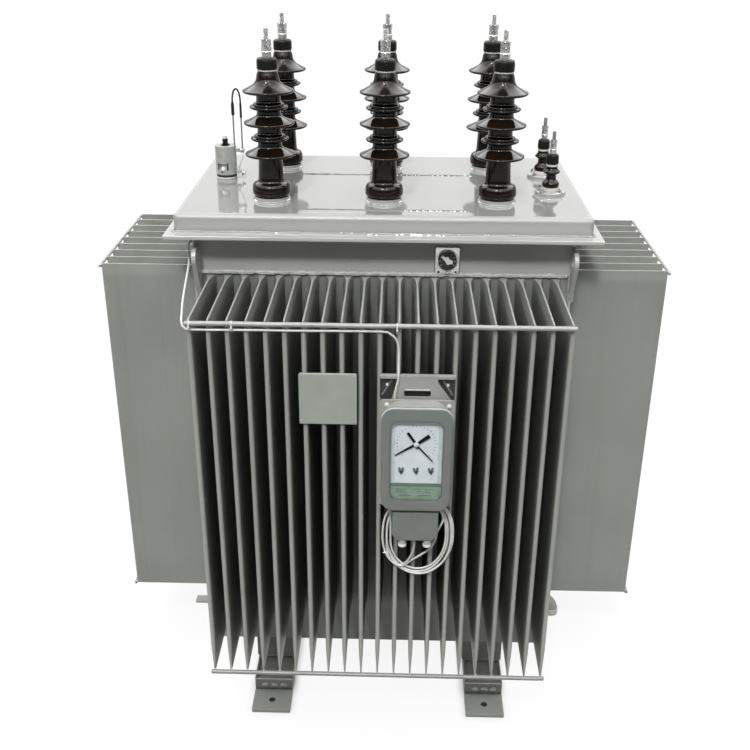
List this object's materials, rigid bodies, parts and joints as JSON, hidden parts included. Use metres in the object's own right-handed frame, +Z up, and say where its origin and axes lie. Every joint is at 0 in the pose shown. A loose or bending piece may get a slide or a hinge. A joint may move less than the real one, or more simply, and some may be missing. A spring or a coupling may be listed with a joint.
{
  "type": "oil-immersed series reactor",
  "caption": "Sealed oil-filled series reactor in a corrugated steel tank on skids, with porcelain bushings on its lid, a relief valve, an oil gauge and a thermometer.",
  "frame": {"origin": "on the floor at the centre of the four foot bolt holes, under the middle of the tank", "axes": "+Z up, +X along the lid's three columns of bushings towards the small bushings, -Y towards the front with the gauge and the thermometer"},
  "size_m": [1.534, 1.344, 1.92],
  "materials": {
    "tank_paint": "satin grey paint over welded steel sheet",
    "lid_paint": "high-gloss pale grey paint",
    "porcelain": "dark brown glazed porcelain",
    "terminals": "plated steel nuts and studs over a black cap",
    "valve_metal": "grey painted body with a dark seal",
    "black_sleeve": "black sleeve over wire",
    "gauge": "pale plate with a black dial",
    "plate_metal": "brushed, blank",
    "case_plastic": "mid-grey satin paint",
    "dial_face": "pale dial card with a green strip at its foot",
    "window_glass": "clear",
    "gland_plastic": "pale glands",
    "capillary_sheath": "pale sheathed capillary tube"
  },
  "bodies": {
    "root": {"skids": "tank_paint", "foot_plates": "tank_paint", "bearers": "tank_paint", "tank_bottom": "tank_paint", "panel_front": "tank_paint", "panel_rear": "tank_paint", "panel_left": "tank_paint", "panel_right": "tank_paint", "fins_front": "tank_paint", "fins_rear": "tank_paint", "fins_left": "tank_paint", "fins_right": "tank_paint", "tie_bars": "tank_paint", "upper_band": "tank_paint", "rim_flange": "tank_paint", "lid_flange": "lid_paint", "lid_box": "lid_paint", "lid_bosses": "lid_paint", "lifting_lugs": "tank_paint", "bushing_front_left": "porcelain", "bushing_front_middle": "porcelain", "bushing_front_right": "porcelain", "bushing_rear_left": "porcelain", "bushing_rear_middle": "porcelain", "bushing_rear_right": "porcelain", "terminals_front": "terminals", "terminals_rear": "terminals", "small_bushings": "porcelain", "small_terminals": "terminals", "relief_valve": "valve_metal", "pull_loop": "black_sleeve", "oil_gauge": "gauge", "blank_plate": "plate_metal", "thermometer_bracket": "tank_paint", "thermometer_case": "case_plastic", "thermometer_dial": "dial_face", "thermometer_window": "window_glass", "terminal_box": "case_plastic", "cable_glands": "gland_plastic", "capillary_coil": "capillary_sheath", "capillary_tube": "capillary_sheath", "capillary_tail": "capillary_sheath", "drain_elbow": "tank_paint", "earth_plate": "tank_paint"}
  },
  "joints": []
}
